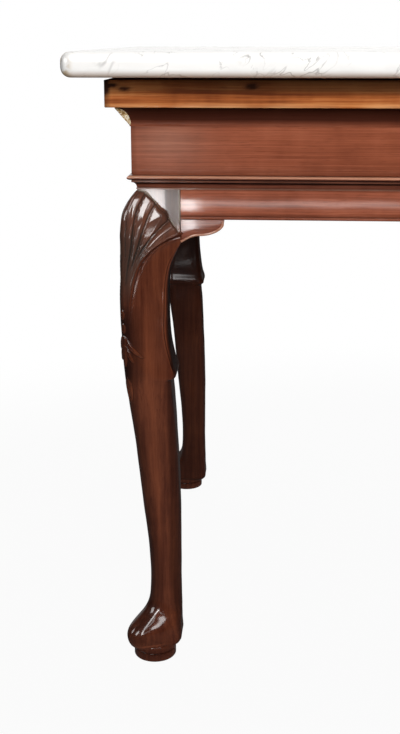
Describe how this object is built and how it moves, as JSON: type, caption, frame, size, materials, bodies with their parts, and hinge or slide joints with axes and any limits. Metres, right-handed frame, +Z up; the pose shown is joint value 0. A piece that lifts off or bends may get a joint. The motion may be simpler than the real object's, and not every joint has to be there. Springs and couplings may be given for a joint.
{
  "type": "serving table",
  "caption": "Marble-topped serving table on carved cabriole legs with shell knees and pad feet, with a moulded mahogany frieze and a loose slab that lifts off.",
  "frame": {"origin": "on the floor, under the middle of the marble slab", "axes": "+Z up, +X along the front to the right, +Y to the wall; the front faces -Y"},
  "size_m": [1.52, 0.78, 0.85],
  "materials": {
    "dark_mahogany": "dark polished mahogany",
    "red_mahogany": "polished red mahogany",
    "board_mahogany": "worn waxed mahogany",
    "pine": "unfinished pine",
    "marble": "honed white marble"
  },
  "bodies": {
    "frame": {"bead_moulding_front": "dark_mahogany", "bead_moulding_left": "dark_mahogany", "bead_moulding_right": "dark_mahogany", "cornice_board_back": "pine", "cornice_board_front": "board_mahogany", "cornice_board_left": "board_mahogany", "cornice_board_right": "board_mahogany", "cove_front": "red_mahogany", "cove_left": "red_mahogany", "cove_right": "red_mahogany", "cross_bearer_1": "pine", "cross_bearer_2": "pine", "cross_bearer_3": "pine", "frieze_back": "pine", "frieze_front": "red_mahogany", "frieze_left": "red_mahogany", "frieze_right": "red_mahogany", "glue_block_1": "pine", "glue_block_2": "pine", "glue_block_3": "pine", "glue_block_4": "pine", "knee_bracket_back_left_side": "dark_mahogany", "knee_bracket_back_right_side": "dark_mahogany", "knee_bracket_front_left_along": "dark_mahogany", "knee_bracket_front_left_side": "dark_mahogany", "knee_bracket_front_right_along": "dark_mahogany", "knee_bracket_front_right_side": "dark_mahogany", "leg_back_left": "dark_mahogany", "leg_back_right": "dark_mahogany", "leg_front_left": "dark_mahogany", "leg_front_right": "dark_mahogany", "lower_rail_back": "pine", "lower_rail_front": "red_mahogany", "lower_rail_left": "red_mahogany", "lower_rail_right": "red_mahogany"},
    "marble": {"marble_top": "marble"}
  },
  "joints": [
    {"name": "marble_lift", "type": "slide", "parent": "frame", "child": "marble", "axis": [0, 0, 1], "range_m": [0, 0.05]}
  ]
}
